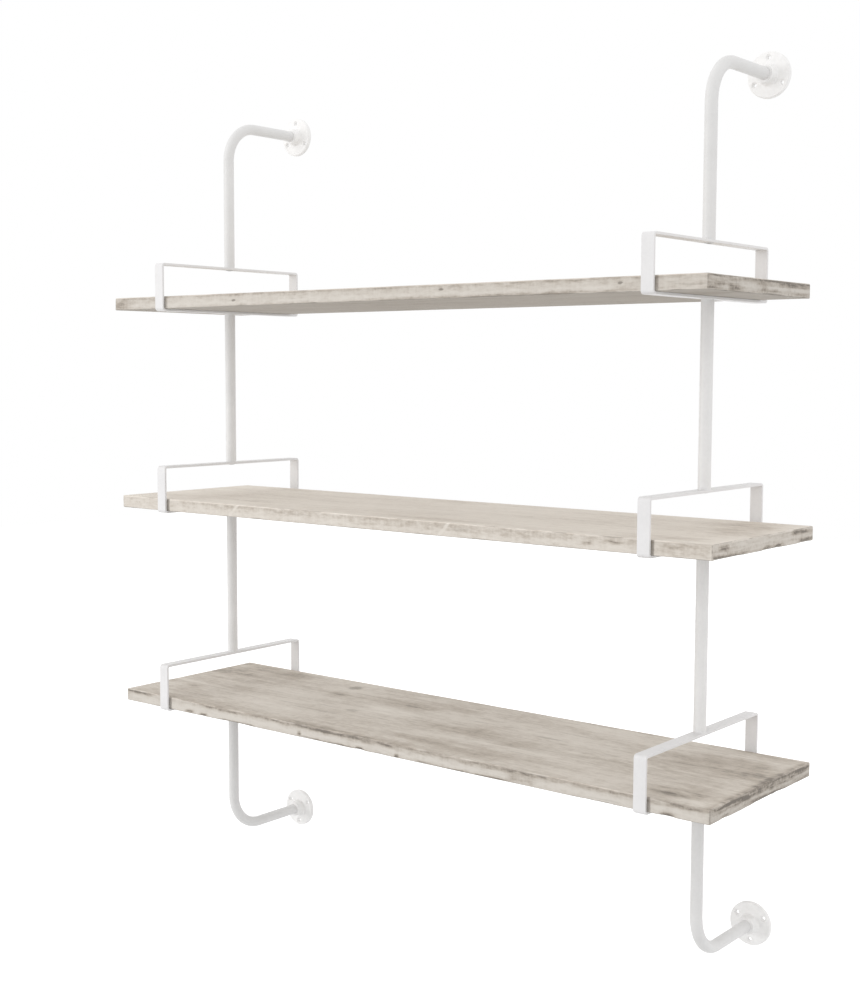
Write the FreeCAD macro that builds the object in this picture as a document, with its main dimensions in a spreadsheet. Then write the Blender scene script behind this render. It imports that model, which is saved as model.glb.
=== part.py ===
# Wall shelving unit: three boards carried by two bent-pipe frames.
#
# Each frame is a line of round tube broken by three closed loops of flat bar.
# A board lies through a left and a right loop, and the tube's two ends bend
# back to the wall, where each is seated in a round flange.
#
# Frame of the model: X along the boards, Y towards the wall, Z up.
# The wall is the plane Y = 0, X = 0 is midway between the two frames and
# Z = 0 is midway between the upper and the lower flanges.  Millimetres.

import FreeCAD, Part
import math
import os

import Sketcher
from FreeCAD import Placement, Rotation, Vector

doc = FreeCAD.newDocument("pipe_shelving_unit")

# ---------------------------------------------------------------- sizes

sheet = doc.addObject("Spreadsheet::Sheet", "sizes")

DRIVING_SIZES = [
    # boards
    ("board_length", 1200, "along the wall"),
    ("board_depth", 315, "front edge to back edge"),
    ("board_thickness", 22, ""),
    ("board_edge_radius", 1.5, "worn edges all round"),
    ("board_spacing", 358, "top face to top face of neighbouring boards"),
    ("top_board_slide", -18, "how far the top board is pushed along its loops"),
    ("middle_board_slide", -4, "the same for the middle board"),
    ("board_front_play", 0.5, "board to the front leg, beyond what the bar's bend takes"),
    ("board_back_gap", 18, "board to the back leg of the loop"),
    # loops of flat bar
    ("board_overhang", 107, "middle of a loop to the end of a board that isn't slid"),
    ("guard_height", 54, "board's top face to the underside of the top bar"),
    ("bar_width", 20, ""),
    ("bar_thickness", 4, ""),
    ("bar_bend_radius", 2, "inside the corner"),
    ("bar_edge_radius", 0.6, "along both sides of the bar"),
    # tubes
    ("tube_diameter", 19, "outside"),
    ("tube_wall", 1.5, ""),
    ("tube_bend_radius", 65, "to the tube's centre line"),
    ("wall_reach", 183, "wall to the axis of the upright tube"),
    ("end_rise", 259, "end loop's outer face to the flange's axis"),
    # wall flanges
    ("flange_diameter", 70, ""),
    ("flange_thickness", 6, ""),
    ("flange_bevel", 1.5, "on the front of the rim"),
    ("hub_diameter", 27, "at the hub's mouth"),
    ("hub_draft", 1.5, "how much the hub's radius grows towards the plate"),
    ("hub_height", 15, "above the plate"),
    ("hub_root_radius", 3, "between hub and plate"),
    ("socket_stop", 2, "thickness of the stop at the bottom of the socket"),
    ("socket_stop_bore", 15, "hole left in the stop"),
    ("wall_hole_circle", 52, "pitch circle of the holes for the wall screws"),
    ("wall_hole_diameter", 5.5, ""),
    ("wall_hole_sink", 10, "countersink at the front face"),
    # threaded plugs fixed in the tubes' ends
    ("plug_length", 16, ""),
    # bolts that hold the loops on the plugs
    ("bolt_diameter", 6, ""),
    ("bolt_grip", 12, "length of the bolt that is inside the plug"),
    ("bolt_head_diameter", 14, "thin domed head"),
    ("bolt_head_height", 1.6, ""),
    ("bolt_head_rim", 0.5, "height of the head's straight edge"),
    ("sunk_head_diameter", 12, "countersunk head under the board"),
    ("bolt_socket", 4, "across the flats of the key socket"),
    ("bolt_socket_depth", 1.8, ""),
    ("bolt_tip_bevel", 0.6, ""),
    ("bolt_hole_play", 0.25, "radial, in the flat bar"),
    # wood screws that hold the boards on the loops
    ("screw_diameter", 4, ""),
    ("screw_head_diameter", 8, "countersunk"),
    ("screw_bite", 12, "length of the screw that is inside the board"),
    ("screw_tip_length", 3, ""),
    ("screw_pilot_spare", 1, "pilot hole beyond the screw's tip"),
    ("screw_spread", 200, "front screw to back screw of one loop"),
    ("screw_hole_play", 0.2, "radial, in the flat bar"),
    # fit of a shaft in its hole
    ("fit", 0.05, "radial clearance of a piece that is seated in another"),
]

for row, (alias, value, note) in enumerate(DRIVING_SIZES, start=1):
    sheet.set(f"A{row}", alias)
    sheet.set(f"B{row}", str(value))
    sheet.set(f"C{row}", note)
    sheet.setAlias(f"B{row}", alias)
doc.recompute()

# Sizes that follow from the driving ones, as expressions over the sheet.
FRAME_SPACING = "(sizes.board_length - 2 * sizes.board_overhang)"
BEND_ROOM = "max(sizes.bar_bend_radius - sizes.board_edge_radius; 0)"
FRONT_GAP = f"({BEND_ROOM} + sizes.board_front_play)"
LOOP_DEPTH = f"({FRONT_GAP} + sizes.board_depth + sizes.board_back_gap)"
LOOP_HEIGHT = "(sizes.guard_height + sizes.board_thickness)"
LOOP_OUTER_DEPTH = f"({LOOP_DEPTH} + 2 * sizes.bar_thickness)"
LOOP_OUTER_HEIGHT = f"({LOOP_HEIGHT} + 2 * sizes.bar_thickness)"
OUTER_BEND_RADIUS = "(sizes.bar_bend_radius + sizes.bar_thickness)"
UPRIGHT_Y = "-sizes.wall_reach"
BOARD_Y = f"({UPRIGHT_Y} - {LOOP_DEPTH} / 2 + {FRONT_GAP} + sizes.board_depth / 2)"
FLANGE_Z = f"(sizes.board_spacing + {LOOP_OUTER_HEIGHT} / 2 + sizes.end_rise)"
STRAIGHT_TUBE_LENGTH = f"(sizes.board_spacing - {LOOP_OUTER_HEIGHT})"
TUBE_BORE = "(sizes.tube_diameter - 2 * sizes.tube_wall)"
BOLT_BORE = "(sizes.bolt_diameter + 2 * sizes.fit)"
SCREW_BORE = "(sizes.screw_diameter + 2 * sizes.fit)"
COUNTERSINK_ANGLE = 90

SIDES = {"left": -1, "right": 1}
LEVELS = {"top": 1, "middle": 0, "bottom": -1}
BOARD_SLIDES = {"top": "sizes.top_board_slide", "middle": "sizes.middle_board_slide", "bottom": "0"}

UPSIDE_DOWN = Rotation(Vector(0, 1, 0), 180)
UPRIGHT = Rotation()


# ---------------------------------------------------------------- helpers

def new_body(label):
    """A body whose label becomes the name of its file."""
    body = doc.addObject("PartDesign::Body", label)
    body.Label = label
    return body


def place(body, x="0", y="0", z="0", rotation=UPRIGHT):
    """Turn the body, then tie its position to the sheet."""
    body.Placement = Placement(Vector(), rotation)
    body.setExpression("Placement.Base.x", x)
    body.setExpression("Placement.Base.y", y)
    body.setExpression("Placement.Base.z", z)


def origin_feature(body, role):
    """One of the body's own origin planes or axes."""
    return next(item for item in body.Origin.OriginFeatures if item.Role == role)


def sketch_on(body, name, plane, offset="0"):
    """A sketch on an origin plane, moved along the plane's normal by offset."""
    sketch = body.newObject("Sketcher::SketchObject", name)
    sketch.AttachmentSupport = [(origin_feature(body, plane), "")]
    sketch.MapMode = "FlatFace"
    if offset != "0":
        sketch.setExpression("AttachmentOffset.Base.z", offset)
        doc.recompute()
    return sketch


def value_of(expression):
    """The present value of an expression over the sheet."""
    result = sheet.evalExpression(expression)
    return float(getattr(result, "Value", result))


def bind(sketch, constraint, expression):
    """Add a dimension and tie it to an expression."""
    index = sketch.addConstraint(constraint)
    sketch.setExpression(f"Constraints[{index}]", expression)


def pin_point(sketch, geometry, point, x, y):
    """Hold a point of the sketch at (x, y), both given as expressions."""
    if x == "0":
        sketch.addConstraint(Sketcher.Constraint("PointOnObject", geometry, point, -2))
    else:
        across = Sketcher.Constraint("DistanceX", -1, 1, geometry, point, value_of(x))
        bind(sketch, across, x)
    if y == "0":
        sketch.addConstraint(Sketcher.Constraint("PointOnObject", geometry, point, -1))
    else:
        along = Sketcher.Constraint("DistanceY", -1, 1, geometry, point, value_of(y))
        bind(sketch, along, y)


def circle(sketch, diameter, x="0", y="0"):
    """A circle whose diameter and centre are expressions."""
    radius = value_of(diameter) / 2
    centre = Vector(value_of(x), value_of(y), 0)
    index = sketch.addGeometry(Part.Circle(centre, Vector(0, 0, 1), radius))
    pin_point(sketch, index, 3, x, y)
    bind(sketch, Sketcher.Constraint("Diameter", index, 2 * radius), diameter)


def arc_between(start, end, centre):
    """The shorter arc from start to end, and whether it runs clockwise."""
    radius = (start - centre).Length
    first = math.atan2(start.y - centre.y, start.x - centre.x)
    last = math.atan2(end.y - centre.y, end.x - centre.x)
    clockwise = (last - first) % (2 * math.pi) > math.pi
    if clockwise:
        first, last = last, first
    full = Part.Circle(centre, Vector(0, 0, 1), radius)
    return Part.ArcOfCircle(full, first, last), clockwise


def outline(sketch, corners, closed=True):
    """Lines and arcs through the corners.

    A corner is (x, y), or (x, y, arc_x, arc_y) where an arc about that second
    point leads to the next corner.  All of them are expressions.
    """
    points = [Vector(value_of(corner[0]), value_of(corner[1]), 0) for corner in corners]
    count = len(corners) if closed else len(corners) - 1
    ends = []
    for number in range(count):
        corner = corners[number]
        start = points[number]
        end = points[(number + 1) % len(points)]
        if len(corner) == 2:
            index = sketch.addGeometry(Part.LineSegment(start, end))
            ends.append((index, 1, 2))
        else:
            centre = Vector(value_of(corner[2]), value_of(corner[3]), 0)
            arc, clockwise = arc_between(start, end, centre)
            index = sketch.addGeometry(arc)
            ends.append((index, 2, 1) if clockwise else (index, 1, 2))
    for number, (index, first, last) in enumerate(ends):
        pin_point(sketch, index, first, corners[number][0], corners[number][1])
        following = ends[(number + 1) % len(ends)]
        if closed or number + 1 < len(ends):
            joint = Sketcher.Constraint("Coincident", index, last, following[0], following[1])
            sketch.addConstraint(joint)
        else:
            pin_point(sketch, index, last, corners[-1][0], corners[-1][1])
        if len(corners[number]) == 4:
            hold_arc_centre(sketch, index, corners[number])


def hold_arc_centre(sketch, index, corner):
    """Fix the one freedom that an arc between two fixed ends still has."""
    centre_x, centre_y = corner[2], corner[3]
    if centre_x == "0":
        sketch.addConstraint(Sketcher.Constraint("PointOnObject", index, 3, -2))
    else:
        across = Sketcher.Constraint("DistanceX", -1, 1, index, 3, value_of(centre_x))
        bind(sketch, across, centre_x)


def rounded_rectangle(sketch, width, height, radius):
    """A rectangle about the origin with four equal round corners."""
    half_width = f"({width}) / 2"
    half_height = f"({height}) / 2"
    inner_x = f"({half_width} - {radius})"
    inner_y = f"({half_height} - {radius})"
    outline(sketch, [
        (f"-{inner_x}", f"-({half_height})"),
        (inner_x, f"-({half_height})", inner_x, f"-{inner_y}"),
        (half_width, f"-{inner_y}"),
        (half_width, inner_y, inner_x, inner_y),
        (inner_x, half_height),
        (f"-{inner_x}", half_height, f"-{inner_x}", inner_y),
        (f"-({half_width})", inner_y),
        (f"-({half_width})", f"-{inner_y}", f"-{inner_x}", f"-{inner_y}"),
    ])


def pad(body, sketch, length, symmetric=False, reverse=False):
    """Extrude the sketch."""
    feature = body.newObject("PartDesign::Pad", "Pad")
    feature.Profile = sketch
    feature.setExpression("Length", length)
    feature.SideType = "Symmetric" if symmetric else "One side"
    feature.Reversed = reverse
    doc.recompute()
    return feature


def ease_edges(body, extrusion, radius):
    """Round every sharp edge of the extrusion."""
    volume = body.Shape.Volume
    feature = body.newObject("PartDesign::Fillet", "EasedEdges")
    feature.Base = (extrusion, ["Edge1"])
    feature.UseAllEdges = True
    feature.setExpression("Radius", radius)
    doc.recompute()
    check_cut(body, volume)


def revolve(body, sketch, axis):
    """Turn the sketch a full circle about one of its own axes."""
    feature = body.newObject("PartDesign::Revolution", "Revolution")
    feature.Profile = sketch
    feature.ReferenceAxis = (sketch, [axis])
    feature.Angle = 360
    doc.recompute()
    return feature


def check_cut(body, volume_before):
    """A cut that points away from the solid removes nothing and shows no error."""
    if body.Shape.Volume >= volume_before - 0.001:
        raise RuntimeError(f"a cut in {body.Label} removed nothing")


def pocket(body, sketch, depth, reverse=False):
    """Cut the sketch into the body."""
    volume = body.Shape.Volume
    feature = body.newObject("PartDesign::Pocket", "Pocket")
    feature.Profile = sketch
    feature.setExpression("Length", depth)
    feature.Reversed = reverse
    doc.recompute()
    check_cut(body, volume)
    return feature


def hole(body, sketch, diameter, depth, sink=None, reverse=False):
    """Drill at the sketch's circles, countersunk if sink gives a diameter."""
    volume = body.Shape.Volume
    feature = body.newObject("PartDesign::Hole", "Hole")
    feature.Profile = sketch
    doc.recompute()
    feature.ThreadType = "None"
    feature.DepthType = "Dimension"
    feature.DrillPoint = "Flat"
    feature.Reversed = reverse
    feature.setExpression("Diameter", diameter)
    feature.setExpression("Depth", depth)
    if sink:
        feature.HoleCutType = "Countersink"
        feature.HoleCutCustomValues = True
        feature.HoleCutCountersinkAngle = COUNTERSINK_ANGLE
        feature.setExpression("HoleCutDiameter", sink)
    doc.recompute()
    check_cut(body, volume)
    return feature


def repeat(body, axis, copies, spacing):
    """Copy the whole body along one of its origin axes."""
    feature = body.newObject("PartDesign::LinearPattern", "LinearPattern")
    feature.TransformMode = "Whole shape"
    feature.Mode = "Spacing"
    feature.Direction = (origin_feature(body, axis), [""])
    feature.Occurrences = copies
    feature.setExpression("Offset", spacing)
    body.Tip = feature
    doc.recompute()


# ---------------------------------------------------------------- boards

def make_board(level):
    """One board; its own origin is the middle of its top face."""
    body = new_body(f"board_{level}")
    half_length = "sizes.board_length / 2"
    half_depth = "sizes.board_depth / 2"
    top_face = sketch_on(body, "BoardOutline", "XY_Plane")
    outline(top_face, [
        (f"-{half_length}", f"-{half_depth}"),
        (half_length, f"-{half_depth}"),
        (half_length, half_depth),
        (f"-{half_length}", half_depth),
    ])
    plank = pad(body, top_face, "sizes.board_thickness", reverse=True)
    ease_edges(body, plank, "sizes.board_edge_radius")

    # Pilot holes in the underside, over the screw holes of the two loops.
    slide = BOARD_SLIDES[level]
    underside = sketch_on(body, "PilotHoles", "XY_Plane", "-sizes.board_thickness")
    for side in SIDES.values():
        for end in (-1, 1):
            x = f"({side} * {FRAME_SPACING} / 2 - ({slide}))"
            y = f"({UPRIGHT_Y} + {end} * sizes.screw_spread / 2 - {BOARD_Y})"
            circle(underside, SCREW_BORE, x, y)
    pocket(body, underside, "sizes.screw_bite + sizes.screw_pilot_spare", reverse=True)

    top_z = f"{LEVELS[level]} * sizes.board_spacing + {LOOP_HEIGHT} / 2 - sizes.guard_height"
    place(body, x=slide, y=BOARD_Y, z=top_z)


# ---------------------------------------------------------------- loops

def make_loop(level, side):
    """A closed loop of flat bar about its own origin, with its bolt and screw holes."""
    body = new_body(f"loop_{level}_{side}")
    section = sketch_on(body, "LoopOutline", "YZ_Plane")
    rounded_rectangle(section, LOOP_OUTER_DEPTH, LOOP_OUTER_HEIGHT, OUTER_BEND_RADIUS)
    rounded_rectangle(section, LOOP_DEPTH, LOOP_HEIGHT, "sizes.bar_bend_radius")
    bar = pad(body, section, "sizes.bar_width", symmetric=True)
    ease_edges(body, bar, "sizes.bar_edge_radius")

    top_of_bar = sketch_on(body, "TopBoltHole", "XY_Plane", f"{LOOP_OUTER_HEIGHT} / 2")
    bolt_hole = "sizes.bolt_diameter + 2 * sizes.bolt_hole_play"
    circle(top_of_bar, bolt_hole)
    hole(body, top_of_bar, bolt_hole, "sizes.bar_thickness")

    board_seat = sketch_on(body, "BottomBoltHole", "XY_Plane", f"-{LOOP_HEIGHT} / 2")
    circle(board_seat, bolt_hole)
    sink = "sizes.sunk_head_diameter + 2 * sizes.fit"
    hole(body, board_seat, bolt_hole, "sizes.bar_thickness", sink)

    underside = sketch_on(body, "ScrewHoles", "XY_Plane", f"-{LOOP_OUTER_HEIGHT} / 2")
    screw_hole = "sizes.screw_diameter + 2 * sizes.screw_hole_play"
    for end in (-1, 1):
        circle(underside, screw_hole, "0", f"({end} * sizes.screw_spread / 2)")
    sink = "sizes.screw_head_diameter + 2 * sizes.fit"
    hole(body, underside, screw_hole, "sizes.bar_thickness", sink, reverse=True)

    x = f"{SIDES[side]} * {FRAME_SPACING} / 2"
    place(body, x=x, y=UPRIGHT_Y, z=f"{LEVELS[level]} * sizes.board_spacing")


# ---------------------------------------------------------------- tubes

def tube_section(body, name):
    """The ring that every tube is drawn from."""
    section = sketch_on(body, name, "XY_Plane")
    circle(section, "sizes.tube_diameter")
    circle(section, TUBE_BORE)
    return section


def make_straight_tube(label, side, level_below):
    """The upright between two loops, standing on the lower loop's top bar."""
    body = new_body(label)
    pad(body, tube_section(body, "TubeSection"), STRAIGHT_TUBE_LENGTH)
    x = f"{SIDES[side]} * {FRAME_SPACING} / 2"
    z = f"{level_below} * sizes.board_spacing + {LOOP_OUTER_HEIGHT} / 2"
    place(body, x=x, y=UPRIGHT_Y, z=z)


def make_bent_tube(label, side, direction):
    """The end tube: up from the loop, round the bend and back to the flange."""
    body = new_body(label)
    section = tube_section(body, "TubeSection")
    bend = "sizes.tube_bend_radius"
    reach = "(sizes.wall_reach - sizes.socket_stop)"
    route = sketch_on(body, "TubeRoute", "YZ_Plane")
    outline(route, [
        ("0", "0"),
        ("0", f"(sizes.end_rise - {bend})", bend, f"(sizes.end_rise - {bend})"),
        (bend, "sizes.end_rise"),
        (reach, "sizes.end_rise"),
    ], closed=False)
    sweep = body.newObject("PartDesign::AdditivePipe", "BentTube")
    sweep.Profile = section
    sweep.Spine = (route, ["Edge1", "Edge2", "Edge3"])
    sweep.Mode = "Frenet"
    doc.recompute()

    x = f"{SIDES[side]} * {FRAME_SPACING} / 2"
    z = f"{direction} * (sizes.board_spacing + {LOOP_OUTER_HEIGHT} / 2)"
    rotation = UPRIGHT if direction > 0 else UPSIDE_DOWN
    place(body, x=x, y=UPRIGHT_Y, z=z, rotation=rotation)


def make_plug(label, side, level, direction):
    """A threaded plug fixed in the end of a tube, flush with the loop's bar."""
    body = new_body(label)
    section = sketch_on(body, "PlugSection", "XY_Plane")
    circle(section, f"{TUBE_BORE} - 2 * sizes.fit")
    circle(section, BOLT_BORE)
    pad(body, section, "sizes.plug_length")
    x = f"{SIDES[side]} * {FRAME_SPACING} / 2"
    z = f"{level} * sizes.board_spacing + {direction} * {LOOP_OUTER_HEIGHT} / 2"
    rotation = UPRIGHT if direction > 0 else UPSIDE_DOWN
    place(body, x=x, y=UPRIGHT_Y, z=z, rotation=rotation)


# ---------------------------------------------------------------- flanges

def make_flange(label, side, direction):
    """A wall flange: plate, hub and socket turned in one, then three screw holes."""
    body = new_body(label)
    plate_front = "-sizes.flange_thickness"
    hub_front = "(-sizes.flange_thickness - sizes.hub_height)"
    rim = "sizes.flange_diameter / 2"
    mouth = "sizes.hub_diameter / 2"
    root = "(sizes.hub_diameter / 2 + sizes.hub_draft)"
    root_radius = "sizes.hub_root_radius"
    socket = "(sizes.tube_diameter / 2 + sizes.fit)"
    stop_bore = "sizes.socket_stop_bore / 2"
    section = sketch_on(body, "FlangeSection", "YZ_Plane")
    outline(section, [
        ("0", stop_bore),
        ("0", rim),
        (f"({plate_front} + sizes.flange_bevel)", rim),
        (plate_front, f"({rim} - sizes.flange_bevel)"),
        (plate_front, f"({root} + {root_radius})",
         f"({plate_front} - {root_radius})", f"({root} + {root_radius})"),
        (f"({plate_front} - {root_radius})", root),
        (hub_front, mouth),
        (hub_front, socket),
        ("-sizes.socket_stop", socket),
        ("-sizes.socket_stop", stop_bore),
    ])
    revolve(body, section, "H_Axis")

    plate_face = sketch_on(body, "WallHole", "XZ_Plane", "sizes.flange_thickness")
    circle(plate_face, "sizes.wall_hole_diameter", "0", "sizes.wall_hole_circle / 2")
    drilled = hole(body, plate_face, "sizes.wall_hole_diameter", "sizes.flange_thickness",
                   "sizes.wall_hole_sink")
    ring = body.newObject("PartDesign::PolarPattern", "WallHoles")
    ring.Originals = [drilled]
    ring.Axis = (origin_feature(body, "Y_Axis"), [""])
    ring.Angle = 360
    ring.Occurrences = 3
    body.Tip = ring
    doc.recompute()

    x = f"{SIDES[side]} * {FRAME_SPACING} / 2"
    rotation = UPRIGHT if direction > 0 else UPSIDE_DOWN
    place(body, x=x, z=f"{direction} * {FLANGE_Z}", rotation=rotation)


# ---------------------------------------------------------------- fasteners

def cut_key_socket(body, offset, reverse):
    """The hexagon socket in a bolt's head."""
    half = "sizes.bolt_socket / 2"
    side = "(sizes.bolt_socket / 2 / sqrt(3))"
    tip = "(sizes.bolt_socket / sqrt(3))"
    hexagon = sketch_on(body, "KeySocket", "XY_Plane", offset)
    outline(hexagon, [
        (half, f"-{side}"),
        (half, side),
        ("0", tip),
        (f"-{half}", side),
        (f"-{half}", f"-{side}"),
        ("0", f"-{tip}"),
    ])
    pocket(body, hexagon, "sizes.bolt_socket_depth", reverse)


def repeat_on_loops(body):
    """One copy for each of the six loops, starting at the bottom left one."""
    repeat(body, "X_Axis", len(SIDES), FRAME_SPACING)
    repeat(body, "Z_Axis", len(LEVELS), "sizes.board_spacing")


def make_guard_bolts():
    """Bolts with thin domed heads that point up through the loops' top bars into the plugs."""
    body = new_body("guard_bolts")
    shank = "sizes.bolt_diameter / 2"
    head = "sizes.bolt_head_diameter / 2"
    length = "(sizes.bar_thickness + sizes.bolt_grip)"
    dome = "(sizes.bolt_head_height - sizes.bolt_head_rim)"
    dome_radius = f"(({head})^2 / (2 * {dome}) + {dome} / 2)"
    section = sketch_on(body, "BoltSection", "XZ_Plane")
    outline(section, [
        ("0", length),
        ("0", "-sizes.bolt_head_height", "0", f"({dome_radius} - sizes.bolt_head_height)"),
        (head, "-sizes.bolt_head_rim"),
        (head, "0"),
        (shank, "0"),
        (shank, f"({length} - sizes.bolt_tip_bevel)"),
        (f"({shank} - sizes.bolt_tip_bevel)", length),
    ])
    revolve(body, section, "V_Axis")
    cut_key_socket(body, "-sizes.bolt_head_height", reverse=True)
    repeat_on_loops(body)
    z = f"{LOOP_HEIGHT} / 2 - sizes.board_spacing"
    place(body, x=f"-{FRAME_SPACING} / 2", y=UPRIGHT_Y, z=z)


def make_seat_bolts():
    """Countersunk bolts, flush under the boards, that point down into the plugs."""
    body = new_body("seat_bolts")
    shank = "sizes.bolt_diameter / 2"
    head = "sizes.sunk_head_diameter / 2"
    length = "(sizes.bar_thickness + sizes.bolt_grip)"
    section = sketch_on(body, "BoltSection", "XZ_Plane")
    outline(section, [
        ("0", "0"),
        ("0", f"-{length}"),
        (f"({shank} - sizes.bolt_tip_bevel)", f"-{length}"),
        (shank, f"(sizes.bolt_tip_bevel - {length})"),
        (shank, f"({shank} - {head})"),
        (head, "0"),
    ])
    revolve(body, section, "V_Axis")
    cut_key_socket(body, "0", reverse=False)
    repeat_on_loops(body)
    z = f"-{LOOP_HEIGHT} / 2 - sizes.board_spacing"
    place(body, x=f"-{FRAME_SPACING} / 2", y=UPRIGHT_Y, z=z)


def make_board_screws():
    """Wood screws up through the loops' bottom bars into one board."""
    for level, height in LEVELS.items():
        body = new_body(f"board_screws_{level}")
        shank = "sizes.screw_diameter / 2"
        head = "sizes.screw_head_diameter / 2"
        length = "(sizes.bar_thickness + sizes.screw_bite)"
        section = sketch_on(body, "ScrewSection", "XZ_Plane")
        outline(section, [
            ("0", "0"),
            (head, "0"),
            (shank, f"({head} - {shank})"),
            (shank, f"({length} - sizes.screw_tip_length)"),
            ("0", length),
        ])
        revolve(body, section, "V_Axis")
        repeat(body, "X_Axis", len(SIDES), FRAME_SPACING)
        repeat(body, "Y_Axis", 2, "sizes.screw_spread")
        y = f"{UPRIGHT_Y} - sizes.screw_spread / 2"
        z = f"{height} * sizes.board_spacing - {LOOP_OUTER_HEIGHT} / 2"
        place(body, x=f"-{FRAME_SPACING} / 2", y=y, z=z)


# ---------------------------------------------------------------- assembly

for level_name in LEVELS:
    make_board(level_name)

for side_name in SIDES:
    for level_name, level_number in LEVELS.items():
        make_loop(level_name, side_name)
        make_plug(f"plug_over_{level_name}_{side_name}", side_name, level_number, 1)
        make_plug(f"plug_under_{level_name}_{side_name}", side_name, level_number, -1)
    make_straight_tube(f"tube_upper_{side_name}", side_name, LEVELS["middle"])
    make_straight_tube(f"tube_lower_{side_name}", side_name, LEVELS["bottom"])
    make_bent_tube(f"bent_tube_upper_{side_name}", side_name, 1)
    make_bent_tube(f"bent_tube_lower_{side_name}", side_name, -1)
    make_flange(f"flange_upper_{side_name}", side_name, 1)
    make_flange(f"flange_lower_{side_name}", side_name, -1)

make_guard_bolts()
make_seat_bolts()
make_board_screws()
doc.recompute()

# ---------------------------------------------------------------- export

for item in doc.Objects:
    if "Invalid" in item.State or "Error" in item.State:
        raise RuntimeError(f"{item.Label} failed to compute: {item.State}")

pieces = [item for item in doc.Objects if item.TypeId == "PartDesign::Body"]
for piece in pieces:
    if piece.Shape.isNull() or not piece.Shape.isValid():
        raise RuntimeError(f"{piece.Label} has no valid shape")

os.makedirs("parts", exist_ok=True)
for piece in pieces:
    piece.Shape.exportStep(f"parts/{piece.Label}.step")
print(f"{len(pieces)} sub-parts written")
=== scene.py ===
"""Pipe shelving unit: worn whitewashed boards in white painted wall frames.

The frames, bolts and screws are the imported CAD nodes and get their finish
here.  The three boards are modelled again with knocked corners, chips and
a slightly uneven face, and stand for the plain CAD boards.

Lengths are metres.  X runs along the boards, Y towards the wall, Z up.
"""

import math
import random
from typing import NamedTuple

import bpy
from bpy.props import FloatProperty, FloatVectorProperty, IntProperty, PointerProperty
from bpy.types import Operator, Panel, PropertyGroup
from mathutils import Matrix, Vector, noise


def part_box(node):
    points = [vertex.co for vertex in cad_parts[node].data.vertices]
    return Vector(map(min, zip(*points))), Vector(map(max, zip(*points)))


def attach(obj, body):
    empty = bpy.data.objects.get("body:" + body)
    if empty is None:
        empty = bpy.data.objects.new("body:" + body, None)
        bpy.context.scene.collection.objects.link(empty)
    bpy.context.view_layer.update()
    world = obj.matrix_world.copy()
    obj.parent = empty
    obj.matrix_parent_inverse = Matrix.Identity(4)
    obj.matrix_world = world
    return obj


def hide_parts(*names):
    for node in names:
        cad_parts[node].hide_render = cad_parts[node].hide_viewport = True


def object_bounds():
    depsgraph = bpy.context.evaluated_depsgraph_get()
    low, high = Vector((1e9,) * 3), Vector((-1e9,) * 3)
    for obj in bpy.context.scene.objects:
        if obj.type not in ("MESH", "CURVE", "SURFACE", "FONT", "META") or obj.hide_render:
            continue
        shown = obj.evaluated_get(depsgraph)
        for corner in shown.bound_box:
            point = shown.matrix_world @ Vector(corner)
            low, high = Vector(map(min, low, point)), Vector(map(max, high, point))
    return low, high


bl_info = {
    "name": "Pipe shelving unit",
    "version": (1, 0, 0),
    "blender": (4, 5, 0),
    "location": "3D View > Sidebar > Shelving",
    "description": "Worn whitewashed boards in white painted wall frames",
    "category": "Add Mesh",
}

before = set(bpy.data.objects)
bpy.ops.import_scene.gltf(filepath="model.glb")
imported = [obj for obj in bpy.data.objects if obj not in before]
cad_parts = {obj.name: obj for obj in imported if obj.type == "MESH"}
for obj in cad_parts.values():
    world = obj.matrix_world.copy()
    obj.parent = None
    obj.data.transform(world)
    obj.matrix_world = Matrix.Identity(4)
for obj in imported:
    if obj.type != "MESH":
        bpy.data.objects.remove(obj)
CAD_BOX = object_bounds()

SIDES = ("left", "right")
MM = 0.001


# ------------------------------------------------------------ board facts

class Patch(NamedTuple):
    """An oval of the top face where the wash is thin, or thick if strength is below 0."""

    along: float  # from the left end
    across: float  # from the back edge
    half_length: float
    half_width: float
    strength: float


class Band(NamedTuple):
    """A strip of the front or the right end where the wash is thin, or thick below 0."""

    start: float  # from the left end, or from the front on the right end
    stop: float
    drop: float  # the strip's middle, below the top face
    half_height: float
    strength: float


class Chip(NamedTuple):
    """A splinter gone from one of the board's edges."""

    edge: str  # front_top, front_under, end_top or end_under
    start: float  # from the left end, or from the front on the right end
    length: float
    depth: float


class Knot(NamedTuple):
    """A small knot, by its place in the board and its half sizes."""

    along: float  # from the left end
    across: float  # from the back edge
    drop: float  # below the top face
    half_length: float
    half_width: float
    strength: float = 0.6


class Scratch(NamedTuple):
    """A pale scrape that slants over the front edge."""

    along: float  # from the left end, at the top of the front edge
    slant: float  # along the board for each metre across it


class BoardFacts(NamedTuple):
    """What is particular to one of the three boards."""

    seed: int
    tone: float
    cover: float  # how well the wash covers the board, 0 is bare and 1 is thick
    contrast: float
    leg_shadow_darkness: float  # how dark the painted shadow beside the front legs is
    end_cover: float  # how well the wash covers the two ends
    patches: tuple = ()
    front_bands: tuple = ()
    end_bands: tuple = ()
    chips: tuple = ()
    knots: tuple = ()
    scratches: tuple = ()


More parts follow.
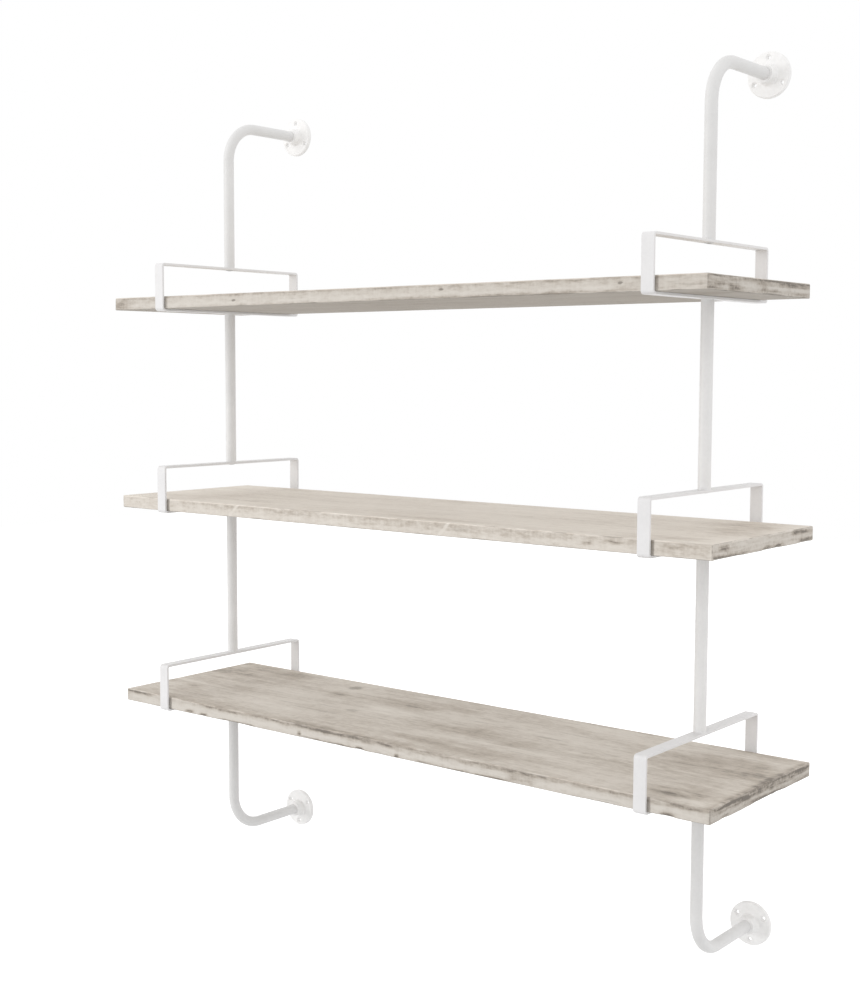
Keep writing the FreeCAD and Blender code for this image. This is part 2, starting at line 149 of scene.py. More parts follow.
BOARDS = {
    "top": BoardFacts(
        seed=11, tone=1.05, cover=0.57, contrast=0.7, leg_shadow_darkness=0.35, end_cover=0.48,
        patches=(
            Patch(0.300, 0.200, 0.200, 0.040, 0.3),
            Patch(0.900, 0.090, 0.150, 0.030, 0.4),
        ),
        front_bands=(
            Band(0.000, 0.035, 0.012, 0.008, 0.9),
            Band(0.600, 1.090, 0.020, 0.003, 0.9),
            Band(0.150, 0.600, 0.021, 0.002, 0.6),
            Band(0.180, 0.420, 0.007, 0.003, -0.3),
            Band(0.020, 1.190, 0.001, 0.003, 0.8),
            Band(0.050, 1.060, 0.015, 0.004, -0.7),
        ),
        end_bands=(
            Band(0.000, 0.315, 0.001, 0.003, 1.3),
            Band(0.000, 0.150, 0.010, 0.008, 0.35),
            Band(0.058, 0.082, 0.018, 0.003, 0.5),
            Band(0.150, 0.215, 0.017, 0.004, 0.5),
            Band(0.215, 0.270, 0.016, 0.004, 0.35),
            Band(0.262, 0.300, 0.018, 0.003, 0.5),
            Band(0.046, 0.058, 0.016, 0.004, -1.0),
            Band(0.092, 0.140, 0.012, 0.003, -1.6),
            Band(0.150, 0.315, 0.006, 0.005, 0.4),
            Band(0.176, 0.240, 0.012, 0.002, -2.2),
            Band(0.250, 0.310, 0.012, 0.002, -2.2),
        ),
        chips=(
            Chip("end_top", 0.004, 0.120, 1.2 * MM),
            Chip("end_top", 0.150, 0.150, 1.4 * MM),
            Chip("end_under", 0.155, 0.070, 1.4 * MM),
            Chip("front_under", 0.780, 0.240, 1.2 * MM),
        ),
        knots=(
            Knot(0.308, 0.315, 0.012, 0.005, 0.002),
            Knot(0.754, 0.315, 0.008, 0.005, 0.002),
            Knot(1.066, 0.315, 0.009, 0.004, 0.002),
        ),
    ),
    "middle": BoardFacts(
        seed=23, tone=1.17, cover=0.57, contrast=0.42, leg_shadow_darkness=0.55, end_cover=0.49,
        patches=(
            # The patch at 0.150 and the three from 1.120 on darken the top face just right of the loops.
            Patch(0.280, 0.245, 0.045, 0.016, 0.5),
            Patch(0.150, 0.030, 0.060, 0.030, 0.5),
            Patch(0.560, 0.035, 0.060, 0.020, 0.3),
            Patch(0.660, 0.285, 0.200, 0.018, 0.3),
            Patch(0.440, 0.215, 0.080, 0.014, -0.3),
            Patch(1.120, 0.050, 0.060, 0.060, 0.7),
            Patch(1.150, 0.140, 0.045, 0.080, 0.6),
            Patch(1.130, 0.270, 0.060, 0.025, 0.5),
        ),
        front_bands=(
            Band(0.160, 1.200, 0.004, 0.005, 0.5),
            Band(0.560, 0.900, 0.012, 0.003, 0.3),
            Band(0.100, 1.100, 0.016, 0.003, -0.3),
            Band(0.995, 1.010, 0.013, 0.003, 1.2),
            Band(1.030, 1.060, 0.008, 0.002, 1.2),
            Band(1.120, 1.200, 0.012, 0.008, 0.4),
        ),
        end_bands=(
            Band(0.021, 0.045, 0.007, 0.003, 2.0),
            Band(0.045, 0.056, 0.007, 0.003, -0.9),
            Band(0.243, 0.292, 0.005, 0.003, 1.8),
            Band(0.000, 0.102, 0.019, 0.002, 1.3),
            Band(0.150, 0.170, 0.019, 0.002, 1.6),
            Band(0.185, 0.216, 0.019, 0.002, 1.5),
            Band(0.265, 0.312, 0.018, 0.002, 1.5),
            Band(0.060, 0.240, 0.010, 0.005, -0.2),
        ),
        chips=(
            Chip("end_top", 0.243, 0.045, 1.4 * MM),
            Chip("end_under", 0.002, 0.092, 1.6 * MM),
            Chip("end_under", 0.146, 0.064, 1.6 * MM),
            Chip("end_under", 0.265, 0.045, 1.6 * MM),
            Chip("front_top", 1.025, 0.040, 1.2 * MM),
        ),
        scratches=(Scratch(0.301, 1.05), Scratch(0.757, 0.95)),
    ),
    "bottom": BoardFacts(
        seed=37, tone=1.03, cover=0.48, contrast=0.78, leg_shadow_darkness=0.5, end_cover=0.46,
        patches=(
            Patch(0.110, 0.085, 0.120, 0.040, 0.65),
            Patch(0.020, 0.085, 0.030, 0.022, 0.25),
            # This patch darkens the top face just right of the left loop.
            Patch(0.165, 0.030, 0.034, 0.024, 0.4),
            Patch(0.336, 0.106, 0.024, 0.020, 0.5),
            Patch(0.512, 0.102, 0.034, 0.026, 0.4),
            Patch(0.500, 0.085, 0.070, 0.030, 0.25),
            Patch(0.500, 0.155, 0.060, 0.025, -1.3),
            Patch(0.800, 0.002, 0.300, 0.004, 0.7),
            Patch(0.560, 0.309, 0.230, 0.009, 0.5),
            Patch(0.230, 0.311, 0.120, 0.006, 0.4),
            Patch(0.700, 0.150, 0.010, 0.012, 0.5),
            Patch(0.690, 0.180, 0.090, 0.014, 0.2),
            Patch(0.650, 0.262, 0.150, 0.020, 0.45),
            Patch(0.960, 0.172, 0.140, 0.016, -0.9),
            Patch(0.785, 0.285, 0.040, 0.014, 0.5),
            Patch(0.800, 0.225, 0.120, 0.012, -0.8),
            Patch(0.080, 0.230, 0.030, 0.020, 0.6),
            Patch(0.330, 0.245, 0.090, 0.012, -0.4),
            Patch(0.860, 0.120, 0.160, 0.040, -0.2),
            Patch(1.140, 0.060, 0.070, 0.050, 0.30),
            Patch(1.145, 0.122, 0.050, 0.020, 0.22),
            Patch(1.130, 0.277, 0.060, 0.030, 1.05),
            Patch(1.150, 0.245, 0.034, 0.022, 0.35),
            Patch(1.100, 0.170, 0.100, 0.050, 0.12),
            Patch(1.172, 0.200, 0.014, 0.060, -0.2),
            Patch(1.160, 0.294, 0.030, 0.012, -0.7),
            Patch(1.170, 0.070, 0.040, 0.070, 0.30),
            Patch(1.196, 0.157, 0.005, 0.300, 0.8),
        ),
        front_bands=(
            Band(0.000, 0.070, 0.003, 0.003, 1.4),
            Band(0.195, 0.310, 0.003, 0.003, 1.2),
            Band(0.310, 0.480, 0.003, 0.003, 1.1),
            Band(0.480, 0.565, 0.003, 0.004, 1.5),
            Band(0.565, 1.200, 0.004, 0.004, 1.15),
            Band(0.010, 1.190, 0.014, 0.006, -0.9),
            Band(0.160, 0.180, 0.018, 0.003, 2.0),
            Band(0.195, 0.215, 0.019, 0.003, 2.1),
            Band(0.250, 0.330, 0.021, 0.002, 2.2),
            Band(0.434, 0.442, 0.016, 0.004, 2.2),
            Band(0.470, 0.560, 0.021, 0.002, 1.8),
            Band(0.565, 0.580, 0.020, 0.003, 2.2),
            Band(0.645, 0.655, 0.018, 0.004, 2.2),
            Band(0.690, 0.860, 0.021, 0.002, 1.8),
            Band(0.865, 0.915, 0.014, 0.006, 1.3),
            Band(1.125, 1.145, 0.018, 0.004, 2.0),
        ),
        end_bands=(
            Band(0.006, 0.310, 0.004, 0.003, 1.4),
            Band(0.020, 0.300, 0.009, 0.003, 1.0),
            Band(0.000, 0.300, 0.014, 0.003, -0.8),
            Band(0.034, 0.056, 0.018, 0.003, 1.0),
            Band(0.120, 0.225, 0.019, 0.003, 1.0),
            Band(0.225, 0.315, 0.020, 0.002, 0.8),
        ),
        chips=(
            Chip("end_top", 0.080, 0.150, 1.2 * MM),
            Chip("end_under", 0.030, 0.028, 1.4 * MM),
            Chip("end_under", 0.120, 0.110, 1.8 * MM),
            Chip("front_under", 0.245, 0.080, 1.4 * MM),
            Chip("front_under", 0.560, 0.022, 1.8 * MM),
            Chip("front_under", 1.120, 0.026, 1.8 * MM),
        ),
        knots=(
            Knot(0.326, 0.047, 0.000, 0.013, 0.014, 0.4),
            Knot(0.440, 0.184, 0.000, 0.012, 0.009, 0.2),
        ),
    ),
}


# ---------------------------------------------------------------- settings

class ShelvingBoardSettings(PropertyGroup):
    """Shape and colours of the three boards, with their painted shade and painted shadows."""

    corner_radius: FloatProperty(
        name="Edge rounding", description="Least rounding of a board's edges",
        default=1.3 * MM, unit="LENGTH")
    corner_wear: FloatProperty(
        name="Edge wear", description="How much more the most worn edges are rounded",
        default=1.8 * MM, unit="LENGTH")
    face_dip: FloatProperty(
        name="Face dip", description="Deepest hollow of the hand-planed faces",
        default=0.3 * MM, unit="LENGTH")
    stray_chips: IntProperty(
        name="Stray chips", description="Small chips scattered along the edges of a board",
        default=34, min=0)
    worn_band: FloatProperty(
        name="Worn band", description="Width of the bare wood along the most worn edges",
        default=2.5 * MM, unit="LENGTH")
    # Painted shadow of the front legs on the boards' front edges, wider beside the left legs.
    left_leg_shadow: FloatProperty(
        name="Mark beside the left legs",
        description="Width of the bare strip beside the left front legs",
        default=8.0 * MM, unit="LENGTH")
    right_leg_shadow: FloatProperty(
        name="Mark beside the right legs",
        description="Width of the bare strip beside the right front legs",
        default=5.5 * MM, unit="LENGTH")
    thick_wash: FloatVectorProperty(
        name="Thick wash", description="Colour where the whitewash covers the wood",
        default=(0.745, 0.698, 0.636), subtype="COLOR")
    wash: FloatVectorProperty(
        name="Wash", description="Colour of most of the board",
        default=(0.655, 0.604, 0.541), subtype="COLOR")
    thin_wash: FloatVectorProperty(
        name="Thin wash", description="Colour where the wash is rubbed thin",
        default=(0.490, 0.434, 0.372), subtype="COLOR")
    bare_wood: FloatVectorProperty(
        name="Bare wood", description="Colour of grey weathered wood without wash",
        default=(0.228, 0.200, 0.170), subtype="COLOR")
    # This dark colour is also the colour of the painted shadow beside the front legs.
    dark_wood_and_shadow: FloatVectorProperty(
        name="Dark wood", description="Colour inside cracks and knots",
        default=(0.115, 0.096, 0.076), subtype="COLOR")
    # Painted shade: the rims, the ends and the underside are darker copies of the faces' wash.
    rim_shade: FloatProperty(
        name="Rim tone", description="Front and back edges against the faces",
        default=0.85, min=0, max=1)
    end_shade: FloatProperty(
        name="End tone", description="Ends against the faces",
        default=0.76, min=0, max=1)
    underside_shade: FloatProperty(
        name="Underside tone", description="Underside against the upper face",
        default=0.69, min=0, max=1)
    roughness: FloatProperty(
        name="Roughness", description="Roughness of the matt wash",
        default=0.74, min=0, max=1)


class ShelvingPaintSettings(PropertyGroup):
    """White paint of the frames: one paint, made lighter on the flanges and straight tubes and darker on
    the bent tubes and flat bars, as painted light and shade.
    """

    # Darker on the flat bars, as painted shade.
    bar_shaded_colour: FloatVectorProperty(
        name="Flat bar colour", description="Paint on the loops of flat bar",
        default=(0.775, 0.765, 0.765), subtype="COLOR")
    # Lighter on the straight tubes, as painted light.
    tube_lit_colour: FloatVectorProperty(
        name="Tube colour", description="Paint on the straight tubes",
        default=(0.80, 0.793, 0.787), subtype="COLOR")
    # Darker on the bent tubes, as painted shade.
    bent_tube_shaded_colour: FloatVectorProperty(
        name="Bent tube colour", description="Paint on the bent tubes",
        default=(0.745, 0.739, 0.733), subtype="COLOR")
    # Lighter on the flanges, as painted light.
    flange_lit_colour: FloatVectorProperty(
        name="Flange colour", description="Paint on the wall flanges",
        default=(0.90, 0.892, 0.884), subtype="COLOR")
    roughness: FloatProperty(
        name="Roughness", description="Roughness of the satin paint",
        default=0.4, min=0, max=1)
    orange_peel: FloatProperty(
        name="Orange peel", description="Height of the paint's fine ripple",
        default=0.12 * MM, unit="LENGTH")
    casting: FloatProperty(
        name="Casting skin", description="Height of the flanges' coarse cast skin",
        default=0.6 * MM, unit="LENGTH")


class ShelvingSteelSettings(PropertyGroup):
    """Zinc plated bolts, plugs and screws."""

    colour: FloatVectorProperty(
        name="Zinc colour", description="Colour of the bright zinc",
        default=(0.60, 0.61, 0.63), subtype="COLOR")
    roughness: FloatProperty(
        name="Roughness", description="Roughness of the plated steel",
        default=0.34, min=0, max=1)


class ShelvingStageSettings(PropertyGroup):
    """Floor, lamps and camera."""

    floor_drop: FloatProperty(
        name="Floor drop", description="Floor below the lowest point of the unit",
        default=0.80, unit="LENGTH")
    floor_size: FloatProperty(
        name="Floor size", description="Length of the square floor's side",
        default=24.0, unit="LENGTH")
    floor_colour: FloatVectorProperty(
        name="Floor colour", description="Pale floor",
        default=(0.70, 0.70, 0.70), subtype="COLOR")
    floor_glow: FloatProperty(
        name="Floor glow",
        description="Light that the floor adds where it is seen directly, so that it looks white",
        default=0.62, min=0)
    sky_strength: FloatProperty(
        name="Room light", description="Even light from all sides",
        default=1.0, min=0)
    key_power: FloatProperty(
        name="Key lamp", description="Large soft lamp at the upper left",
        default=14.0, unit="POWER")
    side_power: FloatProperty(
        name="Side lamp", description="Large soft lamp at the right",
        default=8.0, unit="POWER")
    front_power: FloatProperty(
        name="Front lamp", description="Soft lamp in front of the unit, to the left",
        default=42.0, unit="POWER")
    camera_place: FloatVectorProperty(
        name="Camera place", description="Where the camera stands",
        default=(1.5157, -2.0951, 0.2129), subtype="XYZ", unit="LENGTH")
    camera_turn: FloatProperty(
        name="Camera turn", description="Turn to the left of the wall's normal",
        default=0.67565, subtype="ANGLE")
    camera_tilt: FloatProperty(
        name="Camera tilt", description="Tilt above the horizon",
        default=-0.08498, subtype="ANGLE")
    camera_roll: FloatProperty(
        name="Camera roll", description="Roll about the line of sight",
        default=0.00296, subtype="ANGLE")
    lens: FloatProperty(
        name="Focal length", description="Focal length on a 36 mm long frame, in millimetres",
        default=53.48)


# ---------------------------------------------------------- material tools

class Grain(NamedTuple):
    """A noise pattern: its repeats in a metre along each axis, and its character."""

    repeats: tuple
    detail: float = 3.0
    roughness: float = 0.5
    distortion: float = 0.0


def opaque(colour):
    """The same colour with an alpha of 1."""
    return (*colour, 1.0)


class Finish:
    """A new material and short ways to add nodes to it."""

    def __init__(self, name):
        self.material = bpy.data.materials.new(name)
        self.material.use_nodes = True
        self.tree = self.material.node_tree
        self.tree.nodes.clear()
        self.place = self.add("ShaderNodeTexCoord").outputs["Object"]

    def add(self, kind, **settings):
        """A node with these settings."""
        node = self.tree.nodes.new(kind)
        for setting, value in settings.items():
            setattr(node, setting, value)
        return node

    def feed(self, socket, value):
        """Link another node's output to the socket, or set it to a value."""
        if isinstance(value, bpy.types.NodeSocket):
            self.tree.links.new(value, socket)
        else:
            socket.default_value = value

    def math(self, operation, first, second=0.0, third=0.0):
        """Arithmetic on numbers."""
        node = self.add("ShaderNodeMath", operation=operation)
        for socket, value in zip(node.inputs, (first, second, third)):
            self.feed(socket, value)
        return node.outputs[0]

    def vector(self, operation, first, second=(0.0, 0.0, 0.0)):
        """Arithmetic on vectors."""
        node = self.add("ShaderNodeVectorMath", operation=operation)
        self.feed(node.inputs[0], first)
        self.feed(node.inputs[1], second)
        return node.outputs["Value" if operation in ("LENGTH", "DOT_PRODUCT") else "Vector"]

    def axes(self, vector):
        """The x, y and z of a vector."""
        node = self.add("ShaderNodeSeparateXYZ")
        self.feed(node.inputs[0], vector)
        return node.outputs

    def grain(self, place, pattern):
        """A noise pattern as a number from 0 to 1."""
        node = self.add("ShaderNodeTexNoise")
        self.feed(node.inputs["Vector"], self.vector("MULTIPLY", place, pattern.repeats))
        node.inputs["Scale"].default_value = 1.0
        node.inputs["Detail"].default_value = pattern.detail
        node.inputs["Roughness"].default_value = pattern.roughness
        node.inputs["Distortion"].default_value = pattern.distortion
        return node.outputs[0]

    def step(self, value, low, high):
        """A smooth step: 0 at low, 1 at high."""
        node = self.add("ShaderNodeMapRange", interpolation_type="SMOOTHSTEP")
        self.feed(node.inputs["Value"], value)
        self.feed(node.inputs["From Min"], low)
        self.feed(node.inputs["From Max"], high)
        return node.outputs["Result"]

    def layer(self, base, pattern, weight):
        """A number with a pattern laid over it, which counts from its middle."""
        return self.math("MULTIPLY_ADD", self.math("SUBTRACT", pattern, 0.5), weight, base)

    def mix(self, share, first, second):
        """A mix of two numbers."""
        node = self.add("ShaderNodeMix", data_type="FLOAT")
        self.feed(node.inputs[0], share)
        self.feed(node.inputs[2], first)
        self.feed(node.inputs[3], second)
        return node.outputs[0]

    def blend(self, share, first, second, blend_type="MIX"):
        """A mix of two colours."""
        node = self.add("ShaderNodeMix", data_type="RGBA", blend_type=blend_type)
        self.feed(node.inputs[0], share)
        self.feed(node.inputs[6], first)
        self.feed(node.inputs[7], second)
        return node.outputs[2]

    def scale(self, share, first, second):
        """Colour first, multiplied by second as far as share says."""
        return self.blend(share, first, second, blend_type="MULTIPLY")

    def tint(self, colour, mask, share, target):
        """A colour, taken towards the target as far as the mask times the share says."""
        return self.blend(self.math("MULTIPLY", mask, share), colour, opaque(target))

    def ramp(self, value, stops):
        """A colour ramp through (position, colour) stops."""
        node = self.add("ShaderNodeValToRGB")
        elements = node.color_ramp.elements
        for number, (position, colour) in enumerate(stops):
            stop = elements[number] if number < 2 else elements.new(position)
            stop.position = position
            stop.color = opaque(colour)
        self.feed(node.inputs[0], value)
        return node.outputs[0]

    def bump(self, height, distance, strength=1.0, below=None):
        """A bump of that height in metres, on top of another bump."""
        node = self.add("ShaderNodeBump")
        node.inputs["Strength"].default_value = strength
        node.inputs["Distance"].default_value = distance
        self.feed(node.inputs["Height"], height)
        if below is not None:
            self.feed(node.inputs["Normal"], below)
        return node.outputs[0]

    def surface(self, colour, roughness, normal, metallic=0.0, specular=0.5):
        """The shader that ends the material."""
        shader = self.add("ShaderNodeBsdfPrincipled")
        self.feed(shader.inputs["Base Color"], colour)
        self.feed(shader.inputs["Roughness"], roughness)
        self.feed(shader.inputs["Normal"], normal)
        shader.inputs["Metallic"].default_value = metallic
        shader.inputs["Specular IOR Level"].default_value = specular
        output = self.add("ShaderNodeOutputMaterial")
        self.feed(output.inputs["Surface"], shader.outputs[0])
        return self.material


def dress(piece, material):
    """Give the whole piece one material."""
    piece.data.materials.clear()
    piece.data.materials.append(material)


# ---------------------------------------------------------- wood material

WOOD_GRAINS = {
    "clouds": Grain((4, 14, 14), detail=4.0, roughness=0.55),
    "streaks": Grain((7, 62, 62), detail=4.0, roughness=0.6, distortion=0.4),
    "brushing": Grain((24, 130, 130), detail=4.0, roughness=0.62),
    "planing": Grain((60, 40, 40)),
    "mottle": Grain((55, 75, 190), detail=4.0, roughness=0.6),
    "saw_marks": Grain((230, 20, 45), detail=2.0),
    "end_streaks": Grain((40, 17, 200), detail=4.0, roughness=0.55),
    "fibres": Grain((14, 300, 300), detail=5.0, roughness=0.65),
    "speckle": Grain((95, 240, 240), roughness=0.6),
    "rubbing": Grain((16, 16, 30)),
    "leavings": Grain((22, 22, 40)),
    "cracks": Grain((7, 230, 80), detail=2.0),
}
KNOT_RIM = Grain((160, 320, 320), detail=2.0)
SCRATCH_LINE = Grain((60, 60, 60), detail=2.0)
# Ragged rim of the painted shadow beside the front legs.
LEG_SHADOW_RIM = Grain((150, 150, 150), detail=2.0)

# How much each grain changes the cover of the wash.  A board's contrast multiplies
# the weights of the upper and the under face.
FACE_LAYERS = (("clouds", 1.1), ("streaks", 0.55), ("brushing", 0.35), ("planing", 0.3))
FRONT_LAYERS = (("mottle", 0.8), ("saw_marks", 0.26), ("clouds", 0.5))
FRONT_COVER = 0.57
END_STREAKS = 0.6
END_STREAKS_BY_CONTRAST = 1.1
END_MOTTLE = 0.5
FIBRES = 0.4
SPECKLE = 0.42
WEAR = -0.38

# The cover at which each colour is reached.
BARE_COVER = 0.06
THIN_COVER = 0.30
USUAL_COVER = 0.56
THICK_COVER = 0.86

# How far each mark takes the colour towards its own.
RUBBED_SHARE = 0.4
LEAVINGS_SHARE = 0.5
SPLINTER_SHARE = 0.6
CRACK_SHARE = 0.4
SCRATCH_SHARE = 0.7

# A scratch: how far it wanders, half its faint and its full width, and its reach
# over the top face with the stretch in which it fades.
SCRATCH_WANDER = 8.0 * MM
SCRATCH_RIM = 5.5 * MM
SCRATCH_CORE = 1.5 * MM
SCRATCH_REACH = 22.0 * MM
SCRATCH_FADE = 16.0 * MM

# Distance to a face at which a point counts as off it, and as on it.
OFF_FACE = 2.5 * MM
ON_FACE = 1.0 * MM

WOOD_RELIEF = 0.5 * MM


class BoxPlaces(NamedTuple):
    """Sockets that tell where a point of a board's surface lies."""

    edge: object  # distance to the nearest edge
    on_end: object  # 1 on the two ends
    on_rim: object  # 1 on the front, the back and the ends
    on_underside: object  # 1 on the underside


def box_places(finish, half_size):
    """Work out the places on a box of that half size about the origin."""
    inside = finish.vector("SUBTRACT", half_size, finish.vector("ABSOLUTE", finish.place))
    along, across, through = finish.axes(inside)
    nearer = finish.math("MINIMUM", along, across)
    farther = finish.math("MAXIMUM", along, across)
    height = finish.axes(finish.place)[2]
    return BoxPlaces(
        edge=finish.math("MAXIMUM", nearer, finish.math("MINIMUM", farther, through)),
        on_end=finish.step(along, OFF_FACE, ON_FACE),
        on_rim=finish.step(through, 1.2 * MM, 2.6 * MM),
        on_underside=finish.step(height, 2.0 * MM - half_size.z, 0.8 * MM - half_size.z),
    )


def knot_mask(finish, knot, half_size):
    """1 inside the knot, with a ragged rim."""
    centre = Vector((knot.along - half_size.x, half_size.y - knot.across, half_size.z - knot.drop))
    widths = Vector((1 / knot.half_length, 1 / knot.half_width, 1 / knot.half_width))
    offset = finish.vector("MULTIPLY", finish.vector("SUBTRACT", finish.place, centre), widths)
    rim = finish.grain(finish.place, KNOT_RIM)
    return finish.step(finish.layer(finish.vector("LENGTH", offset), rim, 1.0), 1.25, 0.6)


def scratch_mask(finish, scratch, half_size):
    """1 on a thin slanting line that crosses the front edge."""
    lean = finish.vector("DOT_PRODUCT", finish.place, (1.0, -scratch.slant, -scratch.slant))
    start = scratch.along - half_size.x + scratch.slant * (half_size.y - half_size.z)
    wander = finish.grain(finish.place, SCRATCH_LINE)
    offset = finish.layer(finish.math("SUBTRACT", lean, start), wander, SCRATCH_WANDER)
    line = finish.step(finish.math("ABSOLUTE", offset), SCRATCH_RIM, SCRATCH_CORE)
    fade_start = SCRATCH_REACH - SCRATCH_FADE
    depth = finish.axes(finish.place)[1]
    front = finish.step(depth, SCRATCH_REACH - half_size.y, fade_start - half_size.y)
    return finish.math("MULTIPLY", line, front)


def painted_leg_shadow(finish, leg_side, width, half_size):
    """1 on the front edge just right of a loop's leg, for the painted shadow that the leg throws there.
    """
    along, depth, _ = finish.axes(finish.place)
    rim = finish.grain(finish.place, LEG_SHADOW_RIM)
    from_leg = finish.layer(finish.math("SUBTRACT", along, leg_side), rim, 0.6 * width)
    right = finish.step(from_leg, width, 0.5 * width)
    left = finish.step(from_leg, -2.0 * MM, 0.0)
    front = finish.step(depth, OFF_FACE - half_size.y, ON_FACE - half_size.y)
    return finish.math("MULTIPLY", finish.math("MULTIPLY", left, right), front)


def layered(finish, base, grains, layers, strength=1.0):
    """A number with several named grains laid over it, each by its weight."""
    for name, weight in layers:
        base = finish.layer(base, grains[name], strength * weight)
    return base


def wash_cover(finish, facts, places, grains):
    """How well the wash covers the wood: about 0 is bare and 1 is thick."""
    face = layered(finish, facts.cover, grains, FACE_LAYERS, facts.contrast)
    front = layered(finish, FRONT_COVER, grains, FRONT_LAYERS)
    end = layered(finish, facts.end_cover, grains, (
        ("end_streaks", END_STREAKS + END_STREAKS_BY_CONTRAST * facts.contrast),
        ("mottle", END_MOTTLE),
    ))
    cover = finish.mix(places.on_rim, face, finish.mix(places.on_end, front, end))
    worn = finish.add("ShaderNodeAttribute", attribute_name="wear").outputs["Fac"]
    ragged = finish.math("MULTIPLY_ADD", finish.step(grains["brushing"], 0.32, 0.62), 0.5, 0.5)
    cover = finish.math("MULTIPLY_ADD", finish.math("MULTIPLY", worn, ragged), WEAR, cover)
    return layered(finish, cover, grains, (("fibres", FIBRES * facts.contrast), ("speckle", SPECKLE)))


def edge_colour(finish, settings, places, grains, colour):
    """The colour with its edges rubbed bare, left thick or splintered."""
    # Bare wood along the edges, in some places a broad band and in others none.
    rubbed = finish.step(grains["rubbing"], 0.42, 0.66)
    reach = finish.math("MULTIPLY_ADD", rubbed, settings.worn_band, 0.3 * MM)
    frayed = finish.layer(places.edge, grains["fibres"], 3.0 * MM)
    bare = finish.step(frayed, reach, finish.math("MULTIPLY", reach, 0.3))
    colour = finish.tint(colour, bare, RUBBED_SHARE, settings.bare_wood)

    # Wash left thick on the edge between the rubbed stretches.
    kept = finish.step(grains["leavings"], 0.50, 0.64)
    ridge = finish.math("MULTIPLY", kept, finish.step(places.edge, 3.2 * MM, 1.0 * MM))
    colour = finish.tint(colour, ridge, LEAVINGS_SHARE, settings.thick_wash)

    chipped = finish.add("ShaderNodeAttribute", attribute_name="chipped").outputs["Fac"]
    splintered = finish.step(finish.math("MULTIPLY_ADD", grains["fibres"], 0.5, chipped), 0.40, 0.90)
    return finish.tint(colour, splintered, SPLINTER_SHARE, settings.bare_wood)


def dark_marks_and_leg_shadows(finish, settings, facts, grains, half_size, leg_sides):
    """How dark the cracks, the knots and the painted shadows beside the front legs are."""
    cracks = finish.step(grains["cracks"], 0.67, 0.73)
    dark = finish.math("MULTIPLY", cracks, CRACK_SHARE * facts.contrast)
    marks = [(knot_mask(finish, knot, half_size), knot.strength) for knot in facts.knots]
    # Painted shadow beside each front leg, wider beside the left legs.
    for leg_side, width in zip(leg_sides, (settings.left_leg_shadow, settings.right_leg_shadow)):
        marks.append((painted_leg_shadow(finish, leg_side, width, half_size), facts.leg_shadow_darkness))
    for mask, share in marks:
        dark = finish.math("MAXIMUM", dark, finish.math("MULTIPLY", mask, share))
    return dark


def whitewashed_wood(settings, level, half_size, leg_sides):
    """Whitewash over grey wood: streaks, worn edges, cracks, knots and scrapes, with painted shadows
    beside the front legs and painted shade on the rims, the ends and the underside.

    leg_sides holds where the right side of each loop's front leg comes, from the board's middle.
    """
    facts = BOARDS[level]
    finish = Finish(f"whitewashed_wood_{level}")
    shifted = finish.vector("ADD", finish.place, (facts.seed * 1.37, facts.seed * 0.71, 0.0))
    grains = {name: finish.grain(shifted, pattern) for name, pattern in WOOD_GRAINS.items()}
    places = box_places(finish, half_size)
    cover = wash_cover(finish, facts, places, grains)
    colour = finish.ramp(cover, (
        (BARE_COVER, settings.bare_wood),
        (THIN_COVER, settings.thin_wash),
        (USUAL_COVER, settings.wash),
        (THICK_COVER, settings.thick_wash),
    ))
    colour = edge_colour(finish, settings, places, grains, colour)
    dark = dark_marks_and_leg_shadows(finish, settings, facts, grains, half_size, leg_sides)
    colour = finish.blend(dark, colour, opaque(settings.dark_wood_and_shadow))
    for scratch in facts.scratches:
        mask = scratch_mask(finish, scratch, half_size)
        colour = finish.tint(colour, mask, SCRATCH_SHARE, settings.thick_wash)
    # The board's own tone, then painted shade on the rims, the ends and the underside.
    for share, tone in (
            (1.0, facts.tone),
            (places.on_rim, settings.rim_shade),
            (places.on_end, settings.end_shade / settings.rim_shade),
            (places.on_underside, settings.underside_shade)):
        colour = finish.scale(share, colour, opaque((tone,) * 3))

    roughness = finish.layer(settings.roughness, cover, 0.2)
    relief = finish.math("ADD", grains["fibres"], grains["speckle"])
    relief = finish.math("MULTIPLY_ADD", dark, -1.5, relief)
    normal = finish.bump(relief, WOOD_RELIEF, strength=0.55)
    return finish.surface(colour, roughness, normal, specular=0.3)


# --------------------------------------------------------- metal materials

PAINT_CLOUDS = Grain((26, 26, 26), detail=4.0)
PAINT_MOTTLE = Grain((210, 210, 210))
PAINT_PEEL = Grain((620, 620, 620), detail=2.0)
CAST_LUMPS = Grain((120, 120, 120))
ZINC_CLOUDS = Grain((180, 180, 180), detail=4.0)
ZINC_SCRATCHES = Grain((900, 900, 2400), detail=2.0)

PAINT_TONE = 0.985
DULL_ZINC = 0.85
ZINC_RELIEF = 0.05 * MM


def white_paint(settings, name, colour, casting=0.0):
    """Satin white paint with a fine ripple and faint clouds, over a cast skin of that height."""
    finish = Finish(name)
    mottle = finish.grain(finish.place, PAINT_MOTTLE)
    shade = finish.layer(PAINT_TONE, finish.grain(finish.place, PAINT_CLOUDS), 0.12)
    shade = finish.layer(shade, mottle, 0.07)
    peel = finish.grain(finish.place, PAINT_PEEL)
    normal = finish.bump(peel, settings.orange_peel, strength=0.5)
    if casting > 0.0:
        lumps = finish.grain(finish.place, CAST_LUMPS)
        shade = finish.layer(shade, lumps, 0.16)
        normal = finish.bump(lumps, casting, below=normal)
    grey = finish.add("ShaderNodeCombineColor")
    for channel in grey.inputs:
        finish.feed(channel, shade)
    tinted = finish.scale(1.0, opaque(colour), grey.outputs[0])
    roughness = finish.layer(settings.roughness, mottle, 0.16)
    return finish.surface(tinted, roughness, normal)


